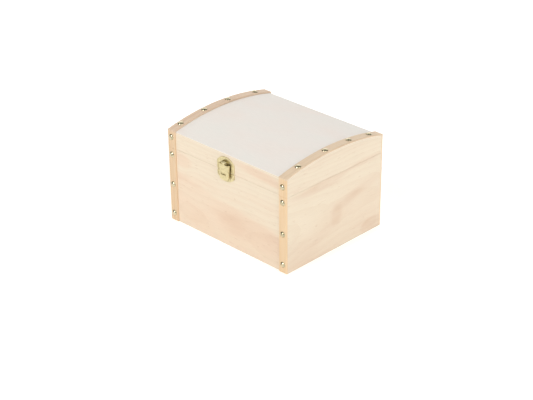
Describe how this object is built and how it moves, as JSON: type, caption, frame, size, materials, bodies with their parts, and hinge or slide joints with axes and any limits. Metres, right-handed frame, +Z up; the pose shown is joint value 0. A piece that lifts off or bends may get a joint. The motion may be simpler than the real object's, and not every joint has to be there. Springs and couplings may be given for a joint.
{
  "type": "treasure chest box",
  "caption": "Small wooden chest with an arched lift-up lid, corner straps set with domed brass nails, rear hinges and a brass hasp clasp at the front.",
  "frame": {"origin": "middle of the underside of the box, on the surface that it stands on", "axes": "+X to the right along the front, +Y to the hinged rear, +Z up"},
  "size_m": [0.19, 0.1654, 0.1298],
  "materials": {
    "board_wood": "sanded, unfinished",
    "plywood": "sanded, unfinished",
    "strap_wood": "sanded, unfinished",
    "brass": "polished plate",
    "steel_pin": "drawn wire"
  },
  "bodies": {
    "base": {"front_wall": "board_wood", "rear_wall": "board_wood", "left_wall": "board_wood", "right_wall": "board_wood", "bottom_panel": "plywood", "front_left_strip": "strap_wood", "front_right_strip": "strap_wood", "rear_left_strip": "strap_wood", "rear_right_strip": "strap_wood", "base_strip_nails": "brass", "left_hinge_base_leaf": "brass", "right_hinge_base_leaf": "brass", "hinge_base_screws": "brass", "catch_plate": "brass", "catch_plate_pins": "brass", "left_hinge_pin": "steel_pin", "right_hinge_pin": "steel_pin"},
    "lid": {"lid_front_rail": "board_wood", "lid_rear_rail": "board_wood", "lid_left_end": "board_wood", "lid_right_end": "board_wood", "lid_top_sheet": "plywood", "lid_left_arch_strip": "strap_wood", "lid_right_arch_strip": "strap_wood", "lid_front_left_strip": "strap_wood", "lid_front_right_strip": "strap_wood", "lid_rear_left_strip": "strap_wood", "lid_rear_right_strip": "strap_wood", "lid_strip_nails": "brass", "left_hinge_lid_leaf": "brass", "right_hinge_lid_leaf": "brass", "hinge_lid_screws": "brass", "clasp_plate": "brass", "clasp_plate_pins": "brass", "hasp_pin": "brass"},
    "hasp": {"hasp": "brass"}
  },
  "joints": [
    {"name": "lid_hinge", "type": "hinge", "parent": "base", "child": "lid", "pos_m": [0, 0.08045, 0.0949], "axis": [-1, 0, 0], "range_deg": [0, 155]},
    {"name": "hasp_swing", "type": "hinge", "parent": "lid", "child": "hasp", "pos_m": [0, -0.08085, 0.10675], "axis": [-1, 0, 0], "range_deg": [-5, 165]}
  ]
}
